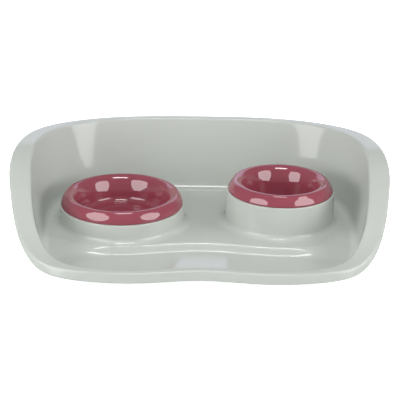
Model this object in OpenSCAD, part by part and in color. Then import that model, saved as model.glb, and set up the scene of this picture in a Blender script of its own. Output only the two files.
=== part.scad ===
// Feeding station for a pet: a splash tray with a high wrap-around wall,
// two round pedestals and two bowls that lift out. Millimetres, Z up, Y to the back.
// The floor sheet is one thin moulding, so the tray is hollow from below.

/* [Tray floor] */
// Half the width of the trough floor outline
floor_half_w = 188; // [176:1:200]
// Reach of the floor outline behind its middle
floor_back = 130; // [122:1:142]
// Reach of the floor outline in front of its middle
floor_front = 136; // [130:1:146]
// How far the front edge dips in between the two lobes
front_dip = 10.5; // [4:0.5:16]
// Half the width of that dip, from the middle to a lobe
dip_half_w = 103; // [90:1:115]
// Roundness of the back corners, 2 is an ellipse and more is squarer
back_corner_power = 2.9; // [2.4:0.1:3.6]
// Roundness of the front corners, 2 is an ellipse and more is squarer
front_corner_power = 4; // [3:0.1:5]
// Thickness of the moulded sheet
sheet = 2.5; // [2.2:0.1:3]
// Gap between the ground and the underside of the trough
ground_gap = 6.5; // [6:0.5:9]
// Height of the plateau above the trough
plateau_rise = 11.5; // [8:0.5:14]
// Plateau edge in front of the middle, at the lobes
step_front = 67.5; // [64:0.5:74]
// How far the plateau edge dips in between the lobes
step_dip = 11.5; // [6:0.5:15]
// How far the plateau edge sweeps back at the side walls
step_sweep = 33; // [20:1:40]
// Depth of the sloping step face
step_run = 8.5; // [7:0.5:12]
// Extra depth of the step face at the side walls, where it fades out
step_fade = 20; // [8:1:26]

/* [Tray wall and rim] */
// Height of the front lip above the trough
lip_h = 9.5; // [8:0.5:12]
// Height of the back wall above the trough
wall_h = 100; // [85:1:115]
// Distance before the middle where the rim starts to climb
climb_start = 108; // [100:1:114]
// Distance behind the middle where the rim is at its full height
climb_end = 85; // [70:1:100]
// Length over which the climb starts softly
climb_soft = 9; // [5:1:20]
// Outward lean of the side walls, as a share of their height
side_lean_share = 0.195; // [0.12:0.005:0.25]
// Outward lean of the back wall, as a share of its height
back_lean_share = 0.19; // [0.12:0.005:0.25]
// Outward lean of the front lip, as a share of its height
front_lean_share = 0.3; // [0.2:0.01:0.4]
// Width of the rim's flat land at the sides, where the wall is high
land_side = 24.7; // [20:0.1:28]
// How much narrower that land is at the low front end of the sides
land_taper = 4.5; // [0:0.5:7]
// Width of the rim's flat land at the back
land_back = 13.5; // [11:0.5:18]
// Width of the rim's flat land at the front
land_front = 11; // [10:0.5:14]
// Extra width of the land round the front corners
land_corner = 4; // [0:0.5:6]
// Fall of the land from its inner to its outer edge
land_fall = 1; // [0.5:0.1:2]
// Depth of the turned-down skirt along the front and the back
skirt_h = 12.5; // [10:0.5:14]
// Depth of that skirt along the sides
skirt_side_h = 7.5; // [7:0.5:12]
// Cove between the floor and the back wall
cove_back = 16; // [12:0.5:20]
// Cove between the floor and the side walls
cove_side = 10; // [8:0.5:14]
// Cove between the trough and the front lip
cove_front = 4; // [3:0.5:5]
// Rounding of the rim's inner edge
ridge_round = 2.6; // [2:0.1:3.5]
// Rounding of the rim's outer edge
edge_round = 3.4; // [2.5:0.1:4.5]

/* [Large bowl] */
// Place of the large bowl, left of the middle
large_x = 95.3; // [93:0.1:98]
// Place of the large bowl, behind the middle
large_y = 16.5; // [14:0.5:20]
// Height of the large bowl's seat above the plateau
large_seat_h = 19.7; // [18:0.1:24]
// Radius of the large bowl's skirt
large_skirt_r = 75; // [70:0.5:77]
// Radius of the large bowl's crest
large_crest_r = 66.4; // [62:0.1:68]
// Height of the large bowl's crest above its seat
large_crest_h = 14.3; // [12:0.1:17]
// Inner radius of the large bowl's floor
large_floor_r = 51; // [46:0.5:54]
// Inner depth of the large bowl
large_depth = 30.5; // [28:0.5:31.5]

/* [Small bowl] */
// Place of the small bowl, right of the middle
small_x = 100; // [97:0.1:103]
// Place of the small bowl, behind the middle
small_y = 24; // [20:0.5:28]
// Height of the small bowl's seat above the plateau
small_seat_h = 36.7; // [35:0.1:42]
// Radius of the small bowl's skirt
small_skirt_r = 64.9; // [61:0.1:67]
// Radius of the small bowl's crest
small_crest_r = 55.5; // [52:0.1:57]
// Height of the small bowl's crest above its seat
small_crest_h = 13.4; // [11:0.1:16]
// Inner radius of the small bowl's floor
small_floor_r = 40.5; // [36:0.5:43]
// Inner depth of the small bowl
small_depth = 45; // [40:0.5:46]

/* [Bowl walls] */
// Thickness of a bowl's wall
bowl_wall = 2.3; // [2:0.1:2.5]
// Rounding of a bowl's crest
crest_round = 3; // [2.6:0.1:3.8]
// Cove between a bowl's wall and its floor
bowl_cove = 9; // [6:0.5:11]
// Height of the upright band at the foot of a bowl's skirt
skirt_band = 2.4; // [2:0.1:3.5]

/* [Pedestals] */
// How far a pedestal's top stands out past the bowl's skirt
ledge_margin = 1.4; // [1:0.1:2]
// Gap between a bowl's body and its well
well_gap = 1; // [0.6:0.1:1.6]
// Thickness of a pedestal's walls
pedestal_wall = 2; // [1.8:0.05:2.05]
// Rounding of a pedestal's top edge
ledge_round = 1.6; // [1.2:0.1:2]
// Outward draft of a pedestal's wall, as a share of its height
draft_share = 0.06; // [0.03:0.01:0.08]
// Cove at the foot of a pedestal
pedestal_cove = 8; // [6:0.5:9]

/* [Feet] */
// Radius of a rubber foot's pad
pad_r = 9; // [8:0.5:10]
// Height of a rubber foot's pad
pad_h = 3.5; // [3:0.1:4]
// Chamfer around the sole of a pad
pad_chamfer = 0.8; // [0.5:0.1:1.2]
// Radius of a rubber foot's plug
plug_r = 5; // [4:0.1:5.5]
// Height of a rubber foot's plug
plug_h = 3; // [2:0.1:3.2]
// Gap between a plug and its socket
plug_gap = 0.15; // [0.1:0.05:0.3]
// Wall of the socket that a plug sits in
socket_wall = 2.2; // [1.8:0.1:2.6]
// Front feet: distance to each side of the middle
front_foot_x = 140; // [130:1:148]
// Front feet: distance in front of the middle
front_foot_y = 100; // [96:1:104]
// Rear feet: angle from straight back, seen from the well's middle
rear_foot_turn = 20; // [0:1:40]
// Rear feet: distance from the well's middle, as a share of its radius
rear_foot_share = 0.72; // [0.6:0.01:0.78]

/* [Hidden] */
$fn = 96;

// Colours of the moulding, the bowls and the rubber
moulding_colour = [0.78, 0.8, 0.77];
bowl_colour = [0.6, 0.28, 0.33];
rubber_colour = [0.35, 0.36, 0.36];

// Heights above the ground
trough_z = ground_gap + sheet;
plateau_z = trough_z + plateau_rise;
plateau_under_z = plateau_z - sheet;
large_seat_z = plateau_z + large_seat_h;
small_seat_z = plateau_z + small_seat_h;

// Overrun of every cut past the face it opens
overrun = 1;
// Depth that one piece of the moulding sinks into another, so that they join
bite = sheet / 2;
// Depth that a pedestal's cove dips under the plateau, so that the two faces cross
cove_sink = 0.3;

// Counts of the faceted shell: points around, and points on each rounding
around = 120;
half_around = around / 2;
cove_steps = 4;
edge_steps = 3;
step_shares = [0, 0.16, 0.33, 0.5, 0.67, 0.84, 1];
rows = len(step_shares);
// Least spacing of a floor column's points, as a share of the column
row_gap_share = 0.01;
// Rings of the floor between the sections and the oval that the floor's columns fill
floor_rings = 4;
// Size of that oval, as shares of the floor's outline
oval_width_share = 0.9;
oval_depth_share = 0.84;

// General helpers
function mix(a, b, t) = a + (b - a) * t;
function unit(v) = v / norm(v);
function ease(t) = let (u = min(1, max(0, t))) u * u * (3 - 2 * u);
function curve(a, b, c, t) = a * pow(1 - t, 2) + b * 2 * t * (1 - t) + c * t * t;

// Outline of the floor at trough level
function half_wave(x) = abs(x) < dip_half_w ? (1 + cos(180 * x / dip_half_w)) / 2 : 0;
function past_lobe(x) = pow(max(0, abs(x) - dip_half_w) / (floor_half_w - dip_half_w), 2);
function corner_power(a) = sin(a) > 0 ? back_corner_power : front_corner_power;
function reach(a) =
    let (p = corner_power(a))
    pow(pow(abs(cos(a)), p) + pow(abs(sin(a)), p), -1 / p);
function outline_point(a) =
    let (
        u = reach(a),
        x = floor_half_w * cos(a) * u,
        y = (sin(a) > 0 ? floor_back : floor_front) * sin(a) * u,
        frontness = pow(max(0, -sin(a) * u), 2)
    )
    [x, y + front_dip * half_wave(x) * frontness];
outline = [for (i = [0 : around - 1]) outline_point(360 * i / around)];
outward = [
    for (i = [0 : around - 1])
        let (d = outline[(i + 1) % around] - outline[(i + around - 1) % around])
        unit([d[1], -d[0]])
];
function by_side(i, side, back, front) =
    let (n = outward[i][1])
    mix(side, n > 0 ? back : front, n * n);

// Height of the floor: trough, step and plateau
function step_y(x) = -step_front + step_dip * half_wave(x) + step_sweep * past_lobe(x);
function step_depth(x) = step_run + step_fade * past_lobe(x);
function floor_z(x, y) =
    trough_z + plateau_rise * ease(1 + (y - step_y(x)) / step_depth(x));

// Height of the rim over a point of the outline
function climb(y) =
    let (
        q = y + climb_start,
        soft = (q + sqrt(q * q + climb_soft * climb_soft)) / 2,
        t = min(1, soft / (climb_start + climb_end))
    )
    1 - pow(1 - t, 2);
function rim_z(i) = trough_z + mix(lip_h, wall_h, climb(outline[i][1]));

// Section of the wall and rim at one point of the outline, as [distance out, height]
function lean(i) = by_side(i, side_lean_share, back_lean_share, front_lean_share);
function lean_out(i, z) = lean(i) * (z - trough_z);
function skirt(i) = by_side(i, skirt_side_h, skirt_h, skirt_h);
function front_corner_share(n) = n < 0 ? 4 * n * n * (1 - n * n) : 0;
function land(i) =
    by_side(i, land_side - land_taper * (1 - climb(outline[i][1])), land_back, land_front)
    + land_corner * front_corner_share(outward[i][1]);
function cove(i, foot) = min(by_side(i, cove_side, cove_back, cove_front), (rim_z(i) - foot) * 0.45);
function foot_z(i) =
    let (
        c = by_side(i, cove_side, cove_back, cove_front),
        p = outline[i] - outward[i] * c
    )
    floor_z(p[0], p[1]);
function under_z(x, y) = floor_z(x, y - sheet) - sheet;
function top_section(i) =
    let (
        foot = foot_z(i),
        rim = rim_z(i),
        c = cove(i, foot),
        foot_out = lean_out(i, foot),
        ridge = [lean_out(i, rim), rim],
        edge = ridge + [land(i), -land_fall]
    )
    concat(
        [for (s = [0 : cove_steps])
            curve([foot_out - c, foot], [foot_out, foot], [lean_out(i, foot + c), foot + c],
                  s / cove_steps)],
        [for (s = [0 : edge_steps])
            curve([lean_out(i, rim - ridge_round), rim - ridge_round], ridge, ridge + [ridge_round, 0],
                  s / edge_steps)],
        [for (s = [0 : edge_steps])
            curve(edge - [edge_round, 0], edge, edge - [0, edge_round], s / edge_steps)],
        [edge + [0, land_fall - skirt(i)]]
    );
function under_section(i) =
    let (
        foot = foot_z(i),
        rim = rim_z(i),
        c = cove(i, foot),
        p = outline[i] + outward[i] * (lean_out(i, foot) - c),
        low = under_z(p[0], p[1]),
        edge_out = lean_out(i, rim) + land(i) - sheet,
        shoulder = [lean_out(i, foot + c) + sheet, foot + c],
        heel = [lean_out(i, foot) - c, low]
    )
    [
        [edge_out, rim - skirt(i)],
        [edge_out, rim - land_fall - sheet],
        [lean_out(i, rim - sheet) + sheet, rim - sheet],
        shoulder,
        curve(shoulder, [lean_out(i, foot) + sheet, low], heel, 1 / 2),
        heel
    ];
section = [for (i = [0 : around - 1]) concat(top_section(i), under_section(i))];

// The rings of the shell: from an oval on the floor out to the sections, and back underneath
rings = len(section[0]) + 2 * floor_rings;
function section_point(r, i) =
    let (s = section[i][r], p = outline[i] + outward[i] * s[0])
    [p[0], p[1], s[1]];
function floor_point(i, share, top) =
    let (
        a = 360 * i / around,
        reach_y = sin(a) > 0 ? floor_back : floor_front,
        oval = [floor_half_w * oval_width_share * cos(a), reach_y * oval_depth_share * sin(a)],
        foot = section_point(top ? 0 : len(section[0]) - 1, i),
        p = mix(oval, [foot[0], foot[1]], share)
    )
    [p[0], p[1], top ? floor_z(p[0], p[1]) : under_z(p[0], p[1])];
function ring_point(r, i) =
    r < floor_rings ? floor_point(i, r / floor_rings, true)
    : r >= rings - floor_rings ? floor_point(i, (rings - 1 - r) / floor_rings, false)
    : section_point(r - floor_rings, i);
ring_points = [for (r = [0 : rings - 1]) for (i = [0 : around - 1]) ring_point(r, i)];

// Floor columns, each from a front point of the oval to the back point across from it
function column_share(j, y_front, y_back, x, shift) =
    let (want = (step_y(x) - step_depth(x) * (1 - step_shares[j]) + shift - y_front) / (y_back - y_front))
    min(1 - row_gap_share * (rows - j), max(row_gap_share * (j + 1), want));
function column_point(ring, k, j, top) =
    let (
        a = ring_point(ring, around - k),
        b = ring_point(ring, k),
        p = mix(a, b, column_share(j, a[1], b[1], a[0], top ? 0 : sheet))
    )
    [p[0], p[1], top ? floor_z(p[0], p[1]) : under_z(p[0], p[1])];
function floor_points(ring, top) =
    [for (k = [1 : half_around - 1]) for (j = [0 : rows - 1]) column_point(ring, k, j, top)];

// Numbers of the shell's points, and its faces
function ring_number(r, i) = r * around + (i % around);
function row_number(start, ring, k, j) =
    j < 0 ? ring_number(ring, around - k)
    : j >= rows ? ring_number(ring, k)
    : start + (k - 1) * rows + j;
function split(a, b, c, d) = [[a, b, c], [a, c, d]];
function turned(faces) = [for (f = faces) [f[2], f[1], f[0]]];
wall_faces = [
    for (r = [0 : rings - 2]) for (i = [0 : around - 1])
        each split(ring_number(r, i), ring_number(r, i + 1),
                   ring_number(r + 1, i + 1), ring_number(r + 1, i))
];
function floor_faces(start, ring) = concat(
    [for (k = [1 : half_around - 2]) for (j = [-1 : rows - 1])
        each split(row_number(start, ring, k, j), row_number(start, ring, k, j + 1),
                   row_number(start, ring, k + 1, j + 1), row_number(start, ring, k + 1, j))],
    [for (j = [-1 : rows - 1])
        [ring_number(ring, 0), row_number(start, ring, 1, j + 1), row_number(start, ring, 1, j)]],
    [for (j = [-1 : rows - 1])
        [ring_number(ring, half_around), row_number(start, ring, half_around - 1, j),
         row_number(start, ring, half_around - 1, j + 1)]]
);
top_start = rings * around;
under_start = top_start + (half_around - 1) * rows;

// The model's middle in depth, so that the origin is under the middle of its box
rim_edge_y = [for (i = [0 : around - 1]) outline[i][1] + outward[i][1] * (lean_out(i, rim_z(i)) + land(i))];
centre_shift = -(max(rim_edge_y) + min(rim_edge_y)) / 2;

// Round corners on a path of [radius, height] points
function arc_corner(a, p, b, r, steps) =
    let (
        u = unit(a - p),
        v = unit(b - p),
        half = acos(u * v) / 2,
        centre = p + unit(u + v) * r / sin(half),
        start = p + u * r / tan(half) - centre,
        end = p + v * r / tan(half) - centre,
        a0 = atan2(start[1], start[0]),
        turn = atan2(end[1], end[0]) - a0,
        sweep = turn > 180 ? turn - 360 : turn < -180 ? turn + 360 : turn
    )
    [for (s = [0 : steps]) centre + r * [cos(a0 + sweep * s / steps), sin(a0 + sweep * s / steps)]];
function rounded(path, radii, steps) = [
    for (i = [0 : len(path) - 1])
        each (i == 0 || i == len(path) - 1 || radii[i] == 0
            ? [path[i]]
            : arc_corner(path[i - 1], path[i], path[i + 1], radii[i], steps))
];
// The same path moved sideways, to the right of its direction
function right_of(d) = unit([d[1], -d[0]]);
function moved(path, d) = [
    for (i = [0 : len(path) - 1])
        let (
            before = right_of(path[max(i, 1)] - path[max(i, 1) - 1]),
            after = right_of(path[min(i, len(path) - 2) + 1] - path[min(i, len(path) - 2)])
        )
        path[i] + (before + after) * d / (1 + before * after)
];
function backwards(path) = [for (i = [len(path) - 1 : -1 : 0]) path[i]];

// A bowl's section, with its seat at height 0. The skirt, the crest and the inside are one thin wall.
// The crest's corner is lifted, in a few tries, until its rounding just reaches the crest's height.
bowl_arc_steps = 6;
lift_tries = 8;
function crest_corner(floor_r, depth, crest_r, crest_h, skirt_r, lift, tries) =
    let (
        p = [crest_r, crest_h + lift],
        u = unit([floor_r, crest_h - depth] - p),
        v = unit([skirt_r, skirt_band] - p),
        drop = crest_round * unit(u + v)[1] / sin(acos(u * v) / 2)
    )
    tries == 0 ? p : crest_corner(floor_r, depth, crest_r, crest_h, skirt_r, -drop - crest_round, tries - 1);
function bowl_path(floor_r, depth, crest_r, crest_h, skirt_r) = [
    [0, crest_h - depth],
    [floor_r, crest_h - depth],
    crest_corner(floor_r, depth, crest_r, crest_h, skirt_r, 0, lift_tries),
    [skirt_r, skirt_band],
    [skirt_r, 0]
];
module bowl(floor_r, depth, crest_r, crest_h, skirt_r) {
    path = bowl_path(floor_r, depth, crest_r, crest_h, skirt_r);
    inside = rounded(path, [0, bowl_cove, crest_round, skirt_band / 2, 0], bowl_arc_steps);
    outside = rounded(moved(path, bowl_wall),
                      [0, bowl_cove + bowl_wall, crest_round / 4, 0, 0], bowl_arc_steps);
    rotate_extrude() polygon(concat(inside, backwards(outside)));
}
// Radius of a bowl's body where it passes its seat, and of the well that clears it
function body_r(floor_r, depth, crest_r, crest_h) =
    mix(floor_r, crest_r, (depth - crest_h) / depth)
    + bowl_wall * sqrt(1 + pow((crest_r - floor_r) / depth, 2));
large_well_r = body_r(large_floor_r, large_depth, large_crest_r, large_crest_h) + well_gap;
small_well_r = body_r(small_floor_r, small_depth, small_crest_r, small_crest_h) + well_gap;

// A pedestal's section from the foot of its cove up to the ledge and in to the well
function pedestal_path(top_r, seat_h, well_r) = [
    [top_r + seat_h * draft_share + pedestal_cove, -cove_sink],
    [top_r + seat_h * draft_share, -cove_sink],
    [top_r, seat_h],
    [well_r, seat_h]
];
cove_arc_steps = 6;
function pedestal_skin(top_r, seat_h, well_r) =
    rounded(pedestal_path(top_r, seat_h, well_r), [0, pedestal_cove * 0.99, ledge_round, 0], cove_arc_steps);
module pedestal_block(skirt_r, seat_h, well_r) {
    top_r = skirt_r + ledge_margin;
    skin = pedestal_skin(top_r, seat_h, well_r);
    rotate_extrude() polygon(concat(skin, [[well_r, -bite], [skin[0][0], -bite]]));
}
module pedestal_hollow(skirt_r, seat_h, well_r) {
    top_r = skirt_r + ledge_margin;
    path = moved(pedestal_path(top_r, seat_h, well_r + pedestal_wall), -pedestal_wall);
    skin = rounded(path, [0, pedestal_cove + pedestal_wall, ledge_round / 2, 0], cove_arc_steps);
    bottom = -sheet - overrun;
    rotate_extrude() polygon(concat(skin, [[skin[len(skin) - 1][0], bottom], [skin[0][0], bottom]]));
}

// Places of the wells and the feet
large_at = [-large_x, large_y];
small_at = [small_x, small_y];
function rear_foot(at, well_r, side) =
    at + well_r * rear_foot_share * [side * sin(rear_foot_turn), cos(rear_foot_turn)];
front_left_at = [-front_foot_x, -front_foot_y];
front_right_at = [front_foot_x, -front_foot_y];
back_left_at = rear_foot(large_at, large_well_r, -1);
back_right_at = rear_foot(small_at, small_well_r, 1);
socket_r = plug_r + plug_gap;

module at(place, z = 0) {
    translate([place[0], place[1], z]) children();
}
module socket_post(under) {
    at([0, 0], pad_h) cylinder(r = socket_r + socket_wall, h = under + bite - pad_h);
}
module socket_bore(under) {
    at([0, 0], pad_h - overrun) cylinder(r = socket_r, h = under - pad_h + overrun);
}
module shell() {
    polyhedron(
        points = concat(ring_points, floor_points(0, true), floor_points(rings - 1, false)),
        faces = concat(wall_faces,
                       turned(floor_faces(top_start, 0)),
                       floor_faces(under_start, rings - 1)),
        convexity = 10
    );
}

module tray() {
    color(moulding_colour) translate([0, centre_shift, 0]) difference() {
        union() {
            shell();
            at(large_at, plateau_z) pedestal_block(large_skirt_r, large_seat_h, large_well_r);
            at(small_at, plateau_z) pedestal_block(small_skirt_r, small_seat_h, small_well_r);
            at(front_left_at) socket_post(ground_gap);
            at(front_right_at) socket_post(ground_gap);
            at(back_left_at) socket_post(plateau_under_z);
            at(back_right_at) socket_post(plateau_under_z);
        }
        at(large_at, plateau_z) pedestal_hollow(large_skirt_r, large_seat_h, large_well_r);
        at(small_at, plateau_z) pedestal_hollow(small_skirt_r, small_seat_h, small_well_r);
        at(front_left_at) socket_bore(ground_gap);
        at(front_right_at) socket_bore(ground_gap);
        at(back_left_at) socket_bore(plateau_under_z);
        at(back_right_at) socket_bore(plateau_under_z);
    }
}

module large_bowl() {
    color(bowl_colour) at(large_at + [0, centre_shift], large_seat_z)
        bowl(large_floor_r, large_depth, large_crest_r, large_crest_h, large_skirt_r);
}

module small_bowl() {
    color(bowl_colour) at(small_at + [0, centre_shift], small_seat_z)
        bowl(small_floor_r, small_depth, small_crest_r, small_crest_h, small_skirt_r);
}

module foot(place) {
    color(rubber_colour) at(place + [0, centre_shift]) rotate_extrude() polygon([
        [0, 0],
        [pad_r - pad_chamfer, 0],
        [pad_r, pad_chamfer],
        [pad_r, pad_h],
        [plug_r, pad_h],
        [plug_r, pad_h + plug_h - pad_chamfer],
        [plug_r - pad_chamfer, pad_h + plug_h],
        [0, pad_h + plug_h]
    ]);
}
module foot_front_left() foot(front_left_at);
module foot_front_right() foot(front_right_at);
module foot_back_left() foot(back_left_at);
module foot_back_right() foot(back_right_at);

tray();
large_bowl();
small_bowl();
foot_front_left();
foot_front_right();
foot_back_left();
foot_back_right();
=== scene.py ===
import math

import bmesh
import bpy
import numpy as np
from mathutils import Matrix, Vector
from mathutils.geometry import delaunay_2d_cdt
from mathutils.kdtree import KDTree


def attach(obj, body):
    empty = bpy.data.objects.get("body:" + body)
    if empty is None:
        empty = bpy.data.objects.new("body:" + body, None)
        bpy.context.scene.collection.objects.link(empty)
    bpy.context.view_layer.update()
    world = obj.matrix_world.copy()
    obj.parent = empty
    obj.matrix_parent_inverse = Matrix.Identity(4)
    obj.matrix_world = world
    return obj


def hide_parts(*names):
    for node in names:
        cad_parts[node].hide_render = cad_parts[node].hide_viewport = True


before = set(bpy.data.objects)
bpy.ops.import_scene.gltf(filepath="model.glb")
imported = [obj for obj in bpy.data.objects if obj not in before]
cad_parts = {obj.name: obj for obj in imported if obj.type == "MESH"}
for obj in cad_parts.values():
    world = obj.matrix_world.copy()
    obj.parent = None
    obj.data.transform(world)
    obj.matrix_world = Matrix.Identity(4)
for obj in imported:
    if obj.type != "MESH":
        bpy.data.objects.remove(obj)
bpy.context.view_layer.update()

# A feeding station for a pet: a glossy splash tray, two bowls in it and four rubber feet.
# Sizes are in millimetres and angles in degrees, unless a line says metres. Heights count from the
# ground, and x and y from the middle of the tray's floor. A finished mesh is moved by MIDDLE_Y into
# the part's frame and turned into metres.
MM = 0.001
MIDDLE_Y = -7.334

# Floor of the tray. Its outline is a rounded box whose front edge dips between two lobes.
FLOOR_HALF_W = 188.0
FLOOR_BACK = 127.5
FLOOR_FRONT = 136.0
FRONT_DIP = 10.5
DIP_HALF_W = 103.0
BACK_CORNER_POWER = 2.9
FRONT_CORNER_POWER = 4.0
SHEET = 2.5

# The step from the trough in front up to the plateau: where its top edge lies, how far that edge
# goes back in the middle and at the sides, how deep the slope is, how much deeper at the sides, and
# how softly that begins. CREASE is the height over which the floor and a pedestal's cove run into
# each other.
TROUGH_Z = 9.0
PLATEAU_Z = 18.2
STEP_FRONT = 65.2
STEP_DIP = 12.5
STEP_SWEEP = 33.0
STEP_RUN = 10.5
STEP_FADE = 36.0
STEP_FADE_START = 0.1
CREASE = 0.5

# Wall of the tray. The rim climbs from CLIMB_START in front of the middle to CLIMB_END behind it.
# LEAN is how far the wall leans out over its height. COVE is the rounding at its foot, which swells
# by COVE_SWELL behind the middle and takes at most COVE_SHARE of the wall's height.
LIP_H = 9.5
WALL_H = 100.0
CLIMB_START = 108.0
CLIMB_END = 85.0
CLIMB_SOFT = 9.0
LEAN = {"side": 0.195, "back": 0.215, "front": 0.3}
COVE = {"side": 10.0, "back": 11.0, "front": 4.0}
COVE_SWELL = 3.0
COVE_SHARE = 0.45

# The land, which is the rim's flat top. It is narrower where the rim is low, wider at the front
# corners, and swells halfway along the sides.
LAND = {"side": 24.7, "back": 13.5, "front": 11.0}
LAND_TAPER = 4.5
LAND_CORNER = 4.0
LAND_SWELL = 2.5
LAND_SWELL_REACH = 40.0

# How far the land's outer edge lies below its inner one: all round, how much less at the back, and
# how much more at the sides. From SIDE_FALL_FROM backwards that last part fades out.
LAND_FALL = 1.2
LAND_LIFT = 2.0
SIDE_FALL = 1.9
SIDE_FALL_FROM = -20.0
SIDE_FALL_RUN = 60.0

# Roundings of the land's inner and outer edge, the skirt that hangs from it, and the roundings of
# the rim's underside, across and down
RIDGE_ROUND = 2.6
EDGE_ROUND = 2.0
SKIRT = {"side": 7.5, "back": 12.5, "front": 12.5}
CORNER_SKIRT = 1.5
SKIRT_FLARE = 0.3
HEM_EDGE = 0.6
INNER_ACROSS, INNER_DOWN = 2.0, 1.5
SHOULDER_ACROSS, SHOULDER_DOWN, SHOULDER_DROP = 3.0, 4.0, 0.1

# Pedestals: place, seat height over the plateau, radius of the top, radius of the well
LARGE = {"at": (-95.3, 16.5), "seat": 22.0, "top": 76.4, "well": 62.756}
SMALL = {"at": (100.0, 24.0), "seat": 39.0, "top": 66.3, "well": 54.458}
DRAFT = 0.06
PEDESTAL_COVE = 7.0
LEDGE_ROUND = 1.6
WELL_EDGE = 0.7
WELL_CORNER = 1.5
PEDESTAL_WALL = 2.0
GROOVE_FOOT = 6.0
GROOVE_FOOT_ROUND = 4.0
GROOVE_ROUND = 0.8
WELL_UNDER_ROUND = 1.0

# The floor's sheet takes over a pedestal's cove below these angles, above and below the sheet
SKIN_FROM = 60.0
LINING_FROM = 45.0

# Bowls: radii of the crest and the skirt, crest height over the seat, inner depth
LARGE_BOWL = {"crest": 67.0, "skirt": 75.0, "crest_h": 14.0, "depth": 30.5}
SMALL_BOWL = {"crest": 56.0, "skirt": 64.9, "crest_h": 13.1, "depth": 45.0}
BOWL_WALL = 2.3
BOWL_COVE = 7.0
WALL_SLOPE = 78.0
WALL_ROUND = 50.0
LIP_SLOPE = 61.0
LIP_DROP = 12.6
LIP_ROUND = 10.6
CREST_ROUND = 4.0
SKIRT_SLOPE = 52.0
SKIRT_BEND = 0.56
SKIRT_ROUND = 20.0
SKIRT_BAND = 2.4
BAND_ROUND, BAND_ROUND_IN = 1.2, 0.3
HEM_ROUND, HEM_ROUND_IN = 1.1, 0.35
HEM_BEND = 0.3

# The shallow round dip in a bowl's floor: its share of the floor's radius, depth and edge
FLOOR_RING = 0.68
RING_DROP = 0.5
RING_EDGE = 1.2
RING_ROUND, RING_ROUND_UNDER = 1.5, 0.5

# Feet: place, and the height of the floor's underside over them
FEET = {
    "foot_front_left": (-140.0, -100.0, 6.5),
    "foot_front_right": (140.0, -100.0, 6.5),
    "foot_back_left": (-110.754, 58.9595, 15.7),
    "foot_back_right": (113.41, 60.845, 15.7),
}
PAD_R, PAD_H, PLUG_R, PLUG_H = 9.0, 3.5, 5.0, 3.0
PAD_HOLLOW, PAD_HOLLOW_START, PAD_HOLLOW_END = 0.25, 3.2, 2.6
PAD_UNDER_ROUND, PAD_TOP_ROUND, PLUG_FOOT_ROUND, PLUG_TOP_ROUND = 0.8, 0.5, 0.2, 0.8
SOCKET_R, SOCKET_WALL = 5.15, 2.2
SOCKET_CHAMFER, POST_CHAMFER = 0.4, 0.5
SOCKET_INTO_SHEET, POST_INTO_SHEET = 0.02, 0.8

# Points round the tray's outline, round a pedestal or bowl, round a post and round a foot, and
# rings up the steep part of a pedestal's cove
AROUND = 480
TURN = 240
POST_TURN = 64
FOOT_TURN = 72
STEEP_COVE_RINGS = 7

# Points of the floor's sheet: rings up a pedestal's cove and past it, rows over the step (0 is its
# foot and 1 its top edge), rows in from the floor's edge (as shares of the way to the middle), a
# fill, and how near a new point of each kind may come to one that is there
COVE_RINGS = 10
RINGS_PAST_COVE = (0.8, 1.8, 3.2, 5.0)
STEP_ROWS = (-0.5, -0.2, 0, 0.07, 0.14, 0.22, 0.3, 0.5, 0.7, 0.78, 0.86, 0.93, 1, 1.2, 1.5)
STEP_ROW_HALF_W = 178.0
STEP_ROW_SPACING = 2.0
EDGE_ROWS = (0.012, 0.03, 0.06)
FILL_HALF_W = 184
FILL_HALF_D = 136
FILL_SPACING = 8.0
FINE_GAP, EDGE_GAP, FILL_GAP, HOLE_GAP = 0.7, 1.5, 3.5, 0.3

# Small numbers: a radius that counts as none, points that count as one, and a step for slopes
ON_AXIS = 1e-6
SAME_POINT = 1e-5
NUDGE = 0.05

# Studio lamps, in metres: name, shape, middle, width and height, radiance of the face, whether it
# shows as a glint in the gloss or else lights the plastic evenly, and colour
WHITE = (1, 1, 1)
COOL = (0.76, 0.78, 1.0)
LAMPS = (
    ("left fill", "RECTANGLE", (-1.3, -0.5, 0.42), (0.8, 0.6), 6.2, False, WHITE),
    ("right fill", "RECTANGLE", (1.3, -0.5, 0.42), (0.8, 0.6), 5.9, False, WHITE),
    ("overhead fill", "RECTANGLE", (0, -1.2, 2.4), (1.6, 1.2), 5.1, False, WHITE),
    ("front fill", "RECTANGLE", (0, -2.4, 1.0), (1.6, 1.0), 1.0, False, WHITE),
    ("left softbox", "ELLIPSE", (-0.76, -0.65, 0.5), (0.79, 0.92), 4.3, True, WHITE),
    ("right softbox", "ELLIPSE", (0.84, -0.58, 0.5), (0.79, 0.92), 4.3, True, WHITE),
    ("top softbox", "RECTANGLE", (0.05, -0.62, 3.1), (1.05, 0.8), 13.0, True, WHITE),
    ("back panel", "RECTANGLE", (0, 2.6, 1.05), (3.4, 1.7), 1.3, True, COOL),
)
LAMPS_FACE = (0, 0, 0.05)
ROOM_LIGHT = 0.28
STUDIO_FLOOR_HALF = 6.0

# Camera: rise over the ground, turn and roll, the point it looks at, its distance in metres, and
# its focal length in pixels of the square frame
CAMERA_RISE, CAMERA_TURN, CAMERA_ROLL = 21.015, -1.216, 1.043
CAMERA_TARGET = (0.71, 16.28, 45.0)
CAMERA_DISTANCE = 1.4923
FOCAL_PIXELS = 1209.8
FRAME_PIXELS = 400
SENSOR_WIDTH = 36


def mix(a, b, t):
    return a + (b - a) * t


def ease(t):
    """A soft climb from 0 to 1, level at both ends."""
    t = np.clip(t, 0, 1)
    return t * t * (3 - 2 * t)


def ramp(t):
    """A climb from 0 to 1 in the shape of an S: a parabola up to the middle and one past it."""
    t = np.clip(t, 0, 1)
    return np.where(t < 0.5, 2 * t * t, 1 - 2 * (1 - t) ** 2)


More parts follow.
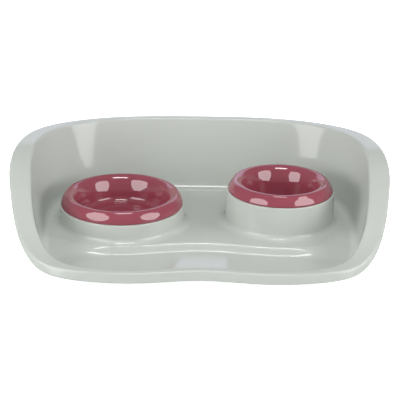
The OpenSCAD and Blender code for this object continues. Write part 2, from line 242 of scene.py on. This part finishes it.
def soft_max(a, b):
    """The larger of two heights, with the crease filled where they differ by less than CREASE."""
    near = np.maximum(CREASE - np.abs(a - b), 0) / CREASE
    return np.maximum(a, b) + near * near * CREASE / 4


def circle(at, r, count=TURN, shift=0.0):
    """Points (x, y) round a circle. shift turns them by that share of their spacing."""
    angles = np.linspace(0, 2 * np.pi, count, endpoint=False)
    angles = angles + shift * angles[1]
    return np.stack([at[0] + r * np.cos(angles), at[1] + r * np.sin(angles)], 1)


def level_circle(at, r, z, count=TURN):
    return np.column_stack([circle(at, r, count), np.full(count, z)])


def distance(x, y, pedestal):
    """How far points lie from a pedestal's middle."""
    return np.hypot(x - pedestal["at"][0], y - pedestal["at"][1])


def middle_wave(x):
    """1 in the middle of the tray's width, 0 at the front edge's two lobes and past them."""
    return np.where(np.abs(x) < DIP_HALF_W, (1 + np.cos(np.pi * x / DIP_HALF_W)) / 2, 0)


def past_lobe(x):
    """0 up to the lobe, 1 at the floor's side."""
    return np.maximum(0, np.abs(x) - DIP_HALF_W) / (FLOOR_HALF_W - DIP_HALF_W)


def step_y(x):
    """Where the step's top edge lies."""
    return -STEP_FRONT + STEP_DIP * middle_wave(x) + STEP_SWEEP * past_lobe(x) ** 2


def step_depth(x):
    """How far the step's slope runs from its foot to its top edge."""
    out = past_lobe(x)
    return STEP_RUN + STEP_FADE * out * out / (out + STEP_FADE_START)


def cove_reach(pedestal):
    """Radius at which a pedestal's cove runs out into the plateau."""
    lean = math.atan(DRAFT)
    foot = pedestal["top"] + pedestal["seat"] * DRAFT
    return foot + PEDESTAL_COVE * math.tan((math.pi / 2 - lean) / 2)


def cove_point(pedestal, angle):
    """Point (radius, height over the plateau) of a pedestal's cove where it slopes by an angle."""
    return (cove_reach(pedestal) - PEDESTAL_COVE * math.sin(angle),
            PEDESTAL_COVE * (1 - math.cos(angle)))


def cove_height(x, y, pedestal):
    """A pedestal's cove over the plateau. Past its foot it falls away below the plateau."""
    steepest, slope_past = 0.999, 1.5
    inward = cove_reach(pedestal) - distance(x, y, pedestal)
    inside = np.clip(inward, 0, PEDESTAL_COVE * steepest)
    return np.where(inward > 0,
                    PEDESTAL_COVE - np.sqrt(PEDESTAL_COVE ** 2 - inside ** 2),
                    slope_past * inward)


def floor_height(x, y, thickness):
    """Height of the tray's floor: trough, step, plateau and the pedestals' coves."""
    share = 1 + (y - thickness - step_y(x)) / step_depth(x)
    z = TROUGH_Z + (PLATEAU_Z - TROUGH_Z) * ramp(share) - thickness
    for pedestal in (LARGE, SMALL):
        z = soft_max(z, PLATEAU_Z - thickness + cove_height(x, y, pedestal))
    return z


def floor_top(x, y):
    return floor_height(x, y, 0.0)


def floor_under(x, y):
    return floor_height(x, y, SHEET)


def climb(y):
    """Share of the wall's height that the rim has reached at depth y."""
    q = y + CLIMB_START
    soft = (q + np.sqrt(q * q + CLIMB_SOFT ** 2)) / 2
    return 1 - (1 - np.minimum(1, soft / (CLIMB_START + CLIMB_END))) ** 2


class TrayOutline:
    """The floor's outline, with what the wall and rim measure at each of its points."""

    def __init__(self):
        a = np.linspace(0, 2 * np.pi, AROUND, endpoint=False)
        c, s = np.cos(a), np.sin(a)
        power = np.where(s > 0, BACK_CORNER_POWER, FRONT_CORNER_POWER)
        reach = (np.abs(c) ** power + np.abs(s) ** power) ** (-1 / power)
        x = FLOOR_HALF_W * c * reach
        y = np.where(s > 0, FLOOR_BACK, FLOOR_FRONT) * s * reach
        y = y + FRONT_DIP * middle_wave(x) * np.maximum(0, -s * reach) ** 2
        self.xy = np.stack([x, y], 1)
        along = np.roll(self.xy, -1, 0) - np.roll(self.xy, 1, 0)
        along /= np.hypot(along[:, 0], along[:, 1])[:, None]
        self.outward = np.stack([along[:, 1], -along[:, 0]], 1)
        # back is 1 where the outline faces the back and -1 where it faces the front, side is 1 at
        # the sides, and corner is 1 halfway round a front corner
        back = self.outward[:, 1]
        side = 1 - back * back
        corner = np.where(back < 0, 4 * back * back * side, 0)
        self.rim = TROUGH_Z + mix(LIP_H, WALL_H, climb(y))
        self.lean = self.by_side(LEAN)
        self.skirt = self.by_side(SKIRT) + CORNER_SKIRT * corner
        side_land = LAND["side"] - LAND_TAPER * (1 - climb(y))
        swell = LAND_SWELL * side * np.exp(-(y / LAND_SWELL_REACH) ** 2)
        self.land = self.by_side(dict(LAND, side=side_land)) + LAND_CORNER * corner + swell
        front_side = side * (1 - ease((y - SIDE_FALL_FROM) / SIDE_FALL_RUN))
        self.fall = LAND_FALL + SIDE_FALL * front_side - LAND_LIFT * ease(2 * back)
        self.flare = SKIRT_FLARE * (self.skirt - self.fall)
        cove = self.by_side(COVE) + COVE_SWELL * middle_wave(x) * np.where(back > 0, back ** 4, 0)
        # The cove's start and the floor's height there depend on each other, and settle in a few
        # rounds
        start = -cove
        for _ in range(4):
            p = self.at(start)
            self.foot = floor_top(p[:, 0], p[:, 1])
            self.cove = np.minimum(cove, (self.rim - self.foot) * COVE_SHARE)
            start = self.out(self.foot) - self.cove
        self.start = start

    def by_side(self, sizes):
        """A size that is given for the side, back and front, blended round the corners."""
        n = self.outward[:, 1]
        return mix(sizes["side"], np.where(n > 0, sizes["back"], sizes["front"]), n * n)

    def out(self, z):
        """How far the leaning wall stands out at height z."""
        return self.lean * (z - TROUGH_Z)

    def at(self, out):
        """The outline's points, moved outwards."""
        return self.xy + self.outward * np.reshape(out, (-1, 1))

    def ring(self, out, z):
        """The same points with their heights."""
        p = self.at(out)
        return np.stack([p[:, 0], p[:, 1], np.broadcast_to(z, len(p))], 1)


def bend(a, b, c, steps):
    """Curve from a to c that leaves towards b, as a list of (out, height) pairs."""
    return [tuple(a[k] * (1 - t) ** 2 + b[k] * 2 * t * (1 - t) + c[k] * t * t for k in (0, 1))
            for t in np.linspace(0, 1, steps + 1)]


def line(a, c, steps):
    """Points between a and c, without the two ends."""
    return [tuple(mix(a[k], c[k], t) for k in (0, 1)) for t in np.linspace(0, 1, steps + 1)[1:-1]]


def top_section(o):
    """The wall and rim from the cove's start up, over the land and down the skirt."""
    cove_end = (o.out(o.foot + o.cove), o.foot + o.cove)
    ridge_start = (o.out(o.rim - RIDGE_ROUND), o.rim - RIDGE_ROUND)
    ridge = (o.out(o.rim), o.rim)
    ridge_end = (ridge[0] + RIDGE_ROUND, o.rim - o.fall * RIDGE_ROUND / o.land)
    edge = (ridge[0] + o.land - o.flare, o.rim - o.fall)
    edge_start = (edge[0] - EDGE_ROUND, edge[1] + o.fall * EDGE_ROUND / o.land)
    edge_end = (edge[0] + SKIRT_FLARE * EDGE_ROUND, edge[1] - EDGE_ROUND)
    hem = (ridge[0] + o.land, o.rim - o.skirt)
    hem_start = (hem[0] - SKIRT_FLARE * HEM_EDGE, hem[1] + HEM_EDGE)
    return (
        bend((o.start, o.foot), (o.out(o.foot), o.foot), cove_end, steps=12)
        + line(cove_end, ridge_start, steps=8)
        + bend(ridge_start, ridge, ridge_end, steps=8)
        + line(ridge_end, edge_start, steps=6)
        + bend(edge_start, edge, edge_end, steps=10)
        + line(edge_end, hem_start, steps=4)
        + bend(hem_start, hem, (hem[0] - HEM_EDGE, hem[1]), steps=4)
    )


def under_section(o):
    """The same sheet from the skirt's hem inwards, under the land and down outside the wall."""
    inner = o.out(o.rim) + o.land - SHEET
    corner = inner - o.flare
    hem_z = o.rim - o.skirt
    ceiling = o.rim - o.fall - SHEET
    ceiling_start = (corner - INNER_ACROSS, ceiling)
    shoulder = (o.out(o.rim - SHEET) + SHEET, o.rim - SHEET)
    shoulder_start = (shoulder[0] + SHOULDER_ACROSS, shoulder[1] - SHOULDER_DROP)
    shoulder_end = (o.out(o.rim - SHEET - SHOULDER_DOWN) + SHEET, shoulder[1] - SHOULDER_DOWN)
    heel_xy = o.at(o.start)
    heel = (o.start, floor_under(heel_xy[:, 0], heel_xy[:, 1]))
    cove_end = (o.out(o.foot + o.cove) + SHEET, o.foot + o.cove)
    return (
        bend((inner + HEM_EDGE, hem_z), (inner, hem_z), (inner, hem_z + HEM_EDGE), steps=4)
        + bend((corner, ceiling - INNER_DOWN), (corner, ceiling), ceiling_start, steps=4)
        + line(ceiling_start, shoulder_start, steps=4)
        + bend(shoulder_start, shoulder, shoulder_end, steps=6)
        + line(shoulder_end, cove_end, steps=7)
        + bend(cove_end, (o.out(o.foot) + SHEET, heel[1]), heel, steps=10)
    )


def rounded(path, radii, steps):
    """A path of (radius, height) points with its corners turned into arcs of the radii given."""
    out = []
    for i, (p, radius) in enumerate(zip(path, radii)):
        if not 0 < i < len(path) - 1 or radius == 0:
            out.append(tuple(p))
            continue
        p, a, b = (np.array(path[k], float) for k in (i, i - 1, i + 1))
        u, v = (a - p) / np.hypot(*(a - p)), (b - p) / np.hypot(*(b - p))
        half = math.acos(float(np.clip(u @ v, -1, 1))) / 2
        middle = (u + v) / np.hypot(*(u + v))
        centre = p + middle * radius / math.sin(half)
        start = p + u * radius / math.tan(half) - centre
        end = p + v * radius / math.tan(half) - centre
        first = math.atan2(start[1], start[0])
        sweep = (math.atan2(end[1], end[0]) - first + math.pi) % (2 * math.pi) - math.pi
        for t in np.linspace(0, 1, steps + 1):
            angle = first + sweep * t
            out.append((centre[0] + radius * math.cos(angle),
                        centre[1] + radius * math.sin(angle)))
    return out


def moved(path, d):
    """The same path moved sideways, to the right of its direction."""
    path = np.array(path, float)
    ways = np.diff(path, axis=0)
    ways /= np.hypot(ways[:, 0], ways[:, 1])[:, None]
    right = np.stack([ways[:, 1], -ways[:, 0]], 1)
    before = np.vstack([right[:1], right])
    after = np.vstack([right, right[-1:]])
    return path + (before + after) * d / (1 + (before * after).sum(1))[:, None]


class Moulding:
    """The points and faces of one piece, in millimetres, and the normals of some points."""

    def __init__(self):
        self.points = []
        self.faces = []
        self.normals = {}

    def add(self, xyz):
        """Adds points and returns their numbers."""
        first = len(self.points)
        self.points.extend(map(tuple, np.asarray(xyz, float)))
        return list(range(first, len(self.points)))

    def band(self, a, b):
        """Four-sided faces between two closed rings of the same count."""
        for i in range(len(a)):
            j = (i + 1) % len(a)
            self.faces.append((a[i], a[j], b[j], b[i]))

    def fan(self, tip, ring):
        """Three-sided faces from one point to a closed ring."""
        for i in range(len(ring)):
            self.faces.append((tip, ring[i], ring[(i + 1) % len(ring)]))

    def turn(self, profile, at, base=0.0, first=None, count=TURN):
        """Sweeps a (radius, height) profile round the vertical through at. A point on the axis
        closes it. first is a ring that is there already, in place of the profile's first point."""
        last = first
        for r, z in profile[(0 if first is None else 1):]:
            if r < ON_AXIS:
                tip = self.add([(at[0], at[1], base + z)])
                if last is None:
                    last = tip
                else:
                    self.fan(tip[0], last)
                continue
            ring = self.add(level_circle(at, r, base + z, count))
            if last is not None and len(last) == 1:
                self.fan(last[0], ring)
            elif last is not None:
                self.band(last, ring)
            last = ring

    def piece(self, name, material):
        """The finished mesh, in metres, as an object of the scene."""
        mesh = bpy.data.meshes.new(name)
        points = (np.array(self.points) + (0, MIDDLE_Y, 0)) * MM
        mesh.from_pydata(points.tolist(), [], self.faces)
        mesh.validate()
        mesh.shade_smooth()
        mesh.materials.append(material)
        thing = bpy.data.objects.new(name, mesh)
        bpy.context.scene.collection.objects.link(thing)
        face_outwards(mesh)
        if self.normals:
            # A normal of zero leaves Blender's own in place
            normals = np.zeros((len(mesh.vertices), 3))
            for number, normal in self.normals.items():
                normals[number] = normal
            mesh.normals_split_custom_set_from_vertices(normals.tolist())
        return thing


def face_outwards(mesh):
    work = bmesh.new()
    work.from_mesh(mesh)
    bmesh.ops.recalc_face_normals(work, faces=work.faces)
    work.to_mesh(mesh)
    work.free()


def inside_outline(points, outline):
    """Which points lie inside a closed outline."""
    x, y = points[:, 0][:, None], points[:, 1][:, None]
    ax, ay = outline[:, 0][None], outline[:, 1][None]
    bx, by = np.roll(outline, -1, 0)[:, 0][None], np.roll(outline, -1, 0)[:, 1][None]
    crosses = (ay > y) != (by > y)
    with np.errstate(divide="ignore", invalid="ignore"):
        at = ax + (y - ay) * (bx - ax) / (by - ay)
    return (np.sum(crosses & (x < at), axis=1) % 2) == 1


def floor_points(edge, holes):
    """The floor's edge, its holes and the points between them that carry its forms."""
    families = []
    for pedestal, hole_r in holes:
        reach = cove_reach(pedestal)
        radii = [*np.linspace(hole_r, reach, COVE_RINGS)[1:], *(reach + d for d in RINGS_PAST_COVE)]
        rings = [circle(pedestal["at"], r, shift=0.5 * (k % 2)) for k, r in enumerate(radii)]
        families.append((np.vstack(rings), FINE_GAP))
    columns = np.arange(-STEP_ROW_HALF_W, STEP_ROW_HALF_W + 0.1, STEP_ROW_SPACING)
    rows = [np.stack([columns, step_y(columns) - step_depth(columns) * (1 - t)], 1)
            for t in STEP_ROWS]
    families.append((np.vstack(rows), FINE_GAP))
    middle = edge.mean(0)
    families.append((np.vstack([edge + (middle - edge) * share for share in EDGE_ROWS]), EDGE_GAP))
    fill = np.meshgrid(np.arange(-FILL_HALF_W, FILL_HALF_W + 1, FILL_SPACING),
                       np.arange(-FILL_HALF_D, FILL_HALF_D + 1, FILL_SPACING))
    families.append((np.stack(fill, -1).reshape(-1, 2), FILL_GAP))
    kept = [edge] + [circle(pedestal["at"], hole_r) for pedestal, hole_r in holes]
    for points, gap in families:
        points = points[inside_outline(points, edge)]
        for pedestal, hole_r in holes:
            points = points[distance(*points.T, pedestal) > hole_r + HOLE_GAP]
        before = np.vstack(kept)
        tree = KDTree(len(before))
        for i, p in enumerate(before):
            tree.insert((p[0], p[1], 0), i)
        tree.balance()
        far = [tree.find((p[0], p[1], 0))[2] > gap for p in points]
        kept.append(points[np.array(far, bool)])
    return kept


def lay_floor(tray, edge_ring, holes, hole_rings, height):
    """Fills the floor between the wall's ring and the pedestals' rings with a smooth sheet."""
    edge = np.array([tray.points[i][:2] for i in edge_ring])
    parts = floor_points(edge, holes)
    flat = np.vstack(parts)
    links = []
    start = 0
    for part in parts[:1 + len(holes)]:
        links += [(start + i, start + (i + 1) % len(part)) for i in range(len(part))]
        start += len(part)
    found, _, faces, came_from, _, _ = delaunay_2d_cdt(
        [Vector(p) for p in flat], links, [], 0, SAME_POINT)

    inner_x, inner_y = flat[start:].T
    numbers = list(edge_ring)
    for ring in hole_rings:
        numbers += ring
    numbers += tray.add(np.stack([inner_x, inner_y, height(inner_x, inner_y)], 1))
    names = [numbers[c[0]] for c in came_from]
    middles = np.array([np.mean([found[i] for i in f], axis=0) for f in faces])
    keep = inside_outline(middles, edge)
    for pedestal, hole_r in holes:
        keep &= distance(*middles.T, pedestal) > hole_r * math.cos(math.pi / TURN)
    for f, kept in zip(faces, keep):
        if kept:
            tray.faces.append(tuple(names[i] for i in f))

    # The sheet's points are uneven, so its normals come from the floor's slopes
    x, y, _ = np.array([tray.points[i] for i in numbers]).T
    slope_x = (height(x + NUDGE, y) - height(x - NUDGE, y)) / (2 * NUDGE)
    slope_y = (height(x, y + NUDGE) - height(x, y - NUDGE)) / (2 * NUDGE)
    normals = np.stack([-slope_x, -slope_y, np.ones(len(x))], 1)
    normals /= np.linalg.norm(normals, axis=1)[:, None]
    if height is floor_under:
        normals = -normals
    tray.normals.update(zip(numbers, map(tuple, normals)))


def pedestal_skin(pedestal):
    """A pedestal's upper side: the steep part of its cove, its wall, ledge, well and well floor."""
    upright = math.pi / 2 - math.atan(DRAFT)
    angles = np.linspace(math.radians(SKIN_FROM), upright, STEEP_COVE_RINGS)
    cove = [cove_point(pedestal, angle) for angle in angles]
    top, well, seat = pedestal["top"], pedestal["well"], pedestal["seat"]
    rest = rounded([cove[-1], (top, seat), (well, seat), (well, 0), (0, 0)],
                   [0, LEDGE_ROUND, WELL_EDGE, WELL_CORNER, 0], steps=8)
    return cove + rest[1:]


def pedestal_lining(pedestal):
    """The moulding from below: a round groove up inside the pedestal, and the well's underside."""
    start_r, start_h = cove_point(pedestal, math.radians(LINING_FROM))
    outer = pedestal["top"] - PEDESTAL_WALL
    inner = pedestal["well"] + PEDESTAL_WALL
    groove_top = pedestal["seat"] - PEDESTAL_WALL
    groove_foot = pedestal["top"] + (pedestal["seat"] - GROOVE_FOOT) * DRAFT - PEDESTAL_WALL
    return rounded([(start_r, start_h - SHEET), (groove_foot, GROOVE_FOOT), (outer, groove_top),
                    (inner, groove_top), (inner, -SHEET), (0, -SHEET)],
                   [0, GROOVE_FOOT_ROUND, GROOVE_ROUND, GROOVE_ROUND, WELL_UNDER_ROUND, 0],
                   steps=5)


def socket_post(tray, x, y, under):
    """The tube under the floor that a foot's plug goes into."""
    outer = SOCKET_R + SOCKET_WALL
    ceiling = under - SOCKET_INTO_SHEET
    root = under + POST_INTO_SHEET
    tray.turn([(0, ceiling), (SOCKET_R, ceiling), (SOCKET_R, PAD_H + SOCKET_CHAMFER),
               (SOCKET_R + SOCKET_CHAMFER, PAD_H), (outer - POST_CHAMFER, PAD_H),
               (outer, PAD_H + POST_CHAMFER), (outer, root), (0, root)],
              (x, y), count=POST_TURN)


def make_tray(material):
    tray = Moulding()
    outline = TrayOutline()
    section = top_section(outline) + under_section(outline)
    rings = [tray.add(outline.ring(out, z)) for out, z in section]
    for a, b in zip(rings, rings[1:]):
        tray.band(a, b)
    for edge_ring, height, skin in ((rings[0], floor_top, pedestal_skin),
                                    (rings[-1], floor_under, pedestal_lining)):
        holes, hole_rings = [], []
        for pedestal in (LARGE, SMALL):
            profile = skin(pedestal)
            r, z = profile[0]
            ring = tray.add(level_circle(pedestal["at"], r, PLATEAU_Z + z))
            tray.turn(profile, pedestal["at"], PLATEAU_Z, first=ring)
            holes.append((pedestal, r))
            hole_rings.append(ring)
        lay_floor(tray, edge_ring, holes, hole_rings, height)
    for x, y, under in FEET.values():
        socket_post(tray, x, y, under)
    return tray.piece("splash_tray", material)


def bowl_path(bowl):
    """A bowl's section with its seat at height 0, from the middle of its floor to its skirt."""
    h = bowl["crest_h"]
    lip = bowl["crest"] - LIP_ROUND * math.tan(math.radians(LIP_SLOPE / 2))
    lip_foot = lip - LIP_DROP / math.tan(math.radians(LIP_SLOPE))
    corner = lip_foot - (bowl["depth"] - LIP_DROP) / math.tan(math.radians(WALL_SLOPE))
    shoulder = bowl["crest"] + CREST_ROUND * math.tan(math.radians(SKIRT_SLOPE / 2))
    drop = (h - SKIRT_BAND) * SKIRT_BEND
    floor = h - bowl["depth"]
    ring = corner * FLOOR_RING
    return [(0, floor - RING_DROP), (ring - RING_EDGE, floor - RING_DROP), (ring, floor),
            (corner, floor), (lip_foot, h - LIP_DROP), (lip, h), (shoulder, h),
            (shoulder + drop / math.tan(math.radians(SKIRT_SLOPE)), h - drop),
            (bowl["skirt"], SKIRT_BAND), (bowl["skirt"], 0)]


def make_bowl(name, bowl, pedestal, material):
    path = bowl_path(bowl)
    inside = rounded(path, [0, RING_ROUND, RING_ROUND, BOWL_COVE, WALL_ROUND, LIP_ROUND,
                            CREST_ROUND, SKIRT_ROUND, BAND_ROUND, 0], steps=14)
    outside = rounded(moved(path, BOWL_WALL),
                      [0, RING_ROUND_UNDER, RING_ROUND_UNDER, BOWL_COVE + BOWL_WALL,
                       WALL_ROUND - BOWL_WALL, LIP_ROUND - BOWL_WALL, CREST_ROUND - BOWL_WALL,
                       SKIRT_ROUND - BOWL_WALL, BAND_ROUND_IN, 0], steps=8)
    skirt = bowl["skirt"]
    hem = [(skirt, HEM_ROUND), (skirt - HEM_BEND * HEM_ROUND, HEM_BEND * HEM_ROUND),
           (skirt - HEM_ROUND, 0), (skirt - BOWL_WALL + HEM_ROUND_IN, 0),
           (skirt - BOWL_WALL, HEM_ROUND_IN)]
    dish = Moulding()
    dish.turn(inside[:-1] + hem + outside[-2::-1], pedestal["at"], PLATEAU_Z + pedestal["seat"])
    return dish.piece(name, material)


def make_foot(name, x, y, material):
    path = [(0, PAD_HOLLOW), (PAD_R - PAD_HOLLOW_START, PAD_HOLLOW), (PAD_R - PAD_HOLLOW_END, 0),
            (PAD_R, 0), (PAD_R, PAD_H), (PLUG_R, PAD_H), (PLUG_R, PAD_H + PLUG_H),
            (0, PAD_H + PLUG_H)]
    radii = [0, 0, 0, PAD_UNDER_ROUND, PAD_TOP_ROUND, PLUG_FOOT_ROUND, PLUG_TOP_ROUND, 0]
    foot = Moulding()
    foot.turn(rounded(path, radii, steps=4), (x, y), count=FOOT_TURN)
    return foot.piece(name, material)


def moulded_skin_group():
    """Shared look of a moulded surface: clouding of its colour, wear of its gloss and a ripple."""
    group = bpy.data.node_groups.new("moulded skin", "ShaderNodeTree")
    scale = group.interface.new_socket("Scale", in_out="INPUT", socket_type="NodeSocketFloat")
    scale.default_value = 1.0
    for output in ("Clouding", "Wear", "Ripple"):
        group.interface.new_socket(output, in_out="OUTPUT", socket_type="NodeSocketFloat")
    nodes, links = group.nodes, group.links
    come = nodes.new("NodeGroupInput")
    go = nodes.new("NodeGroupOutput")
    place = nodes.new("ShaderNodeTexCoord")

    def noise(size, detail, rough):
        node = nodes.new("ShaderNodeTexNoise")
        node.inputs["Detail"].default_value = detail
        node.inputs["Roughness"].default_value = rough
        times = nodes.new("ShaderNodeMath")
        times.operation = "MULTIPLY"
        times.inputs[1].default_value = size
        links.new(come.outputs["Scale"], times.inputs[0])
        links.new(times.outputs[0], node.inputs["Scale"])
        links.new(place.outputs["Object"], node.inputs["Vector"])
        return node.outputs[0]

    links.new(noise(size=14, detail=3, rough=0.5), go.inputs["Clouding"])
    worn = nodes.new("ShaderNodeMapRange")
    worn.inputs["From Min"].default_value = 0.52
    worn.inputs["From Max"].default_value = 0.78
    links.new(noise(size=160, detail=6, rough=0.62), worn.inputs["Value"])
    links.new(worn.outputs[0], go.inputs["Wear"])
    links.new(noise(size=90, detail=2, rough=0.4), go.inputs["Ripple"])
    return group


def plastic(name, skin, light, dark, rough, rough_worn, ripple, index, shine=0.5):
    """A moulded plastic or rubber whose colour, gloss and ripple vary a little over the surface."""
    material = bpy.data.materials.new(name)
    material.use_nodes = True
    nodes, links = material.node_tree.nodes, material.node_tree.links
    surface = nodes["Principled BSDF"]
    look = nodes.new("ShaderNodeGroup")
    look.node_tree = skin
    colour = nodes.new("ShaderNodeMix")
    colour.data_type = "RGBA"
    colour.inputs["A"].default_value = (*dark, 1)
    colour.inputs["B"].default_value = (*light, 1)
    links.new(look.outputs["Clouding"], colour.inputs["Factor"])
    links.new(colour.outputs["Result"], surface.inputs["Base Color"])
    gloss = nodes.new("ShaderNodeMapRange")
    gloss.inputs["To Min"].default_value = rough
    gloss.inputs["To Max"].default_value = rough_worn
    links.new(look.outputs["Wear"], gloss.inputs["Value"])
    links.new(gloss.outputs[0], surface.inputs["Roughness"])
    bump = nodes.new("ShaderNodeBump")
    bump.inputs["Strength"].default_value = ripple
    bump.inputs["Distance"].default_value = 0.5 * MM
    links.new(look.outputs["Ripple"], bump.inputs["Height"])
    links.new(bump.outputs["Normal"], surface.inputs["Normal"])
    surface.inputs["IOR"].default_value = index
    surface.inputs["Specular IOR Level"].default_value = shine
    return material


def plain_floor():
    """A pale studio floor that glows white to the camera alone. It isn't part of the object."""
    mesh = bpy.data.meshes.new("studio_floor")
    half = STUDIO_FLOOR_HALF
    corners = [(-half, -half, 0), (half, -half, 0), (half, half, 0), (-half, half, 0)]
    mesh.from_pydata(corners, [], [(0, 1, 2, 3)])
    material = bpy.data.materials.new("studio white")
    material.use_nodes = True
    surface = material.node_tree.nodes["Principled BSDF"]
    surface.inputs["Base Color"].default_value = (0.82, 0.82, 0.82, 1)
    surface.inputs["Roughness"].default_value = 0.9
    surface.inputs["Specular IOR Level"].default_value = 0.0
    surface.inputs["Emission Color"].default_value = (1, 1, 1, 1)
    seen = material.node_tree.nodes.new("ShaderNodeLightPath")
    material.node_tree.links.new(seen.outputs["Is Camera Ray"], surface.inputs["Emission Strength"])
    mesh.materials.append(material)
    floor = bpy.data.objects.new("studio_floor", mesh)
    bpy.context.scene.collection.objects.link(floor)


def studio_lamp(name, shape, middle, size, radiance, glints, colour):
    """A flat studio light that faces the bowls."""
    light = bpy.data.lights.new(name, "AREA")
    light.shape = shape
    light.size, light.size_y = size
    area = size[0] * size[1] * (math.pi / 4 if shape == "ELLIPSE" else 1)
    light.energy = radiance * area * math.pi
    light.color = colour
    lamp = bpy.data.objects.new(name, light)
    lamp.visible_glossy = glints
    lamp.visible_diffuse = not glints
    lamp.location = middle
    towards = Vector(LAMPS_FACE) - Vector(middle)
    lamp.rotation_euler = towards.to_track_quat("-Z", "Y").to_euler()
    bpy.context.scene.collection.objects.link(lamp)


def studio_light():
    for lamp in LAMPS:
        studio_lamp(*lamp)
    world = bpy.data.worlds.new("studio")
    world.use_nodes = True
    background = world.node_tree.nodes["Background"]
    background.inputs["Color"].default_value = (1, 1, 1, 1)
    background.inputs["Strength"].default_value = ROOM_LIGHT
    bpy.context.scene.world = world


def place_camera():
    """A long lens at the photograph's viewing angle."""
    rise, turn, roll = map(math.radians, (CAMERA_RISE, CAMERA_TURN, CAMERA_ROLL))
    target = (Vector(CAMERA_TARGET) + Vector((0, MIDDLE_Y, 0))) * MM
    back = Vector((math.sin(turn) * math.cos(rise),
                   -math.cos(turn) * math.cos(rise),
                   math.sin(rise)))
    right = (-back).cross(Vector((0, 0, 1))).normalized()
    up = right.cross(-back)
    rolled_right = right * math.cos(roll) + up * math.sin(roll)
    rolled_up = up * math.cos(roll) - right * math.sin(roll)
    data = bpy.data.cameras.new("camera")
    data.sensor_width = SENSOR_WIDTH
    data.lens = SENSOR_WIDTH * FOCAL_PIXELS / FRAME_PIXELS
    camera = bpy.data.objects.new("camera", data)
    turned = Matrix((rolled_right, rolled_up, back)).transposed().to_4x4()
    camera.matrix_world = Matrix.Translation(target + back * CAMERA_DISTANCE) @ turned
    bpy.context.scene.collection.objects.link(camera)
    bpy.context.scene.camera = camera
    bpy.context.scene.view_settings.view_transform = "Standard"


def main():
    skin = moulded_skin_group()
    moulding = plastic("pale grey moulding", skin,
                       light=(0.54, 0.57, 0.535), dark=(0.52, 0.55, 0.515),
                       rough=0.08, rough_worn=0.14, ripple=0.03, index=1.55, shine=0.34)
    rose = plastic("rose bowl plastic", skin,
                   light=(0.308, 0.063, 0.091), dark=(0.29, 0.058, 0.084),
                   rough=0.05, rough_worn=0.10, ripple=0.02, index=1.68)
    rubber = plastic("dark rubber", skin,
                     light=(0.06, 0.06, 0.06), dark=(0.045, 0.045, 0.045),
                     rough=0.6, rough_worn=0.75, ripple=0.2, index=1.5)

    tray = make_tray(moulding)
    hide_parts("tray")
    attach(tray, "tray")
    for name, bowl, pedestal in (("large_bowl", LARGE_BOWL, LARGE),
                                 ("small_bowl", SMALL_BOWL, SMALL)):
        dish = make_bowl(name + "_dish", bowl, pedestal, rose)
        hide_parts(name)
        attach(dish, name)
    for name, (x, y, _) in FEET.items():
        foot = make_foot(name + "_pad", x, y, rubber)
        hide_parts(name)
        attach(foot, "tray")

    plain_floor()
    studio_light()
    place_camera()


main()
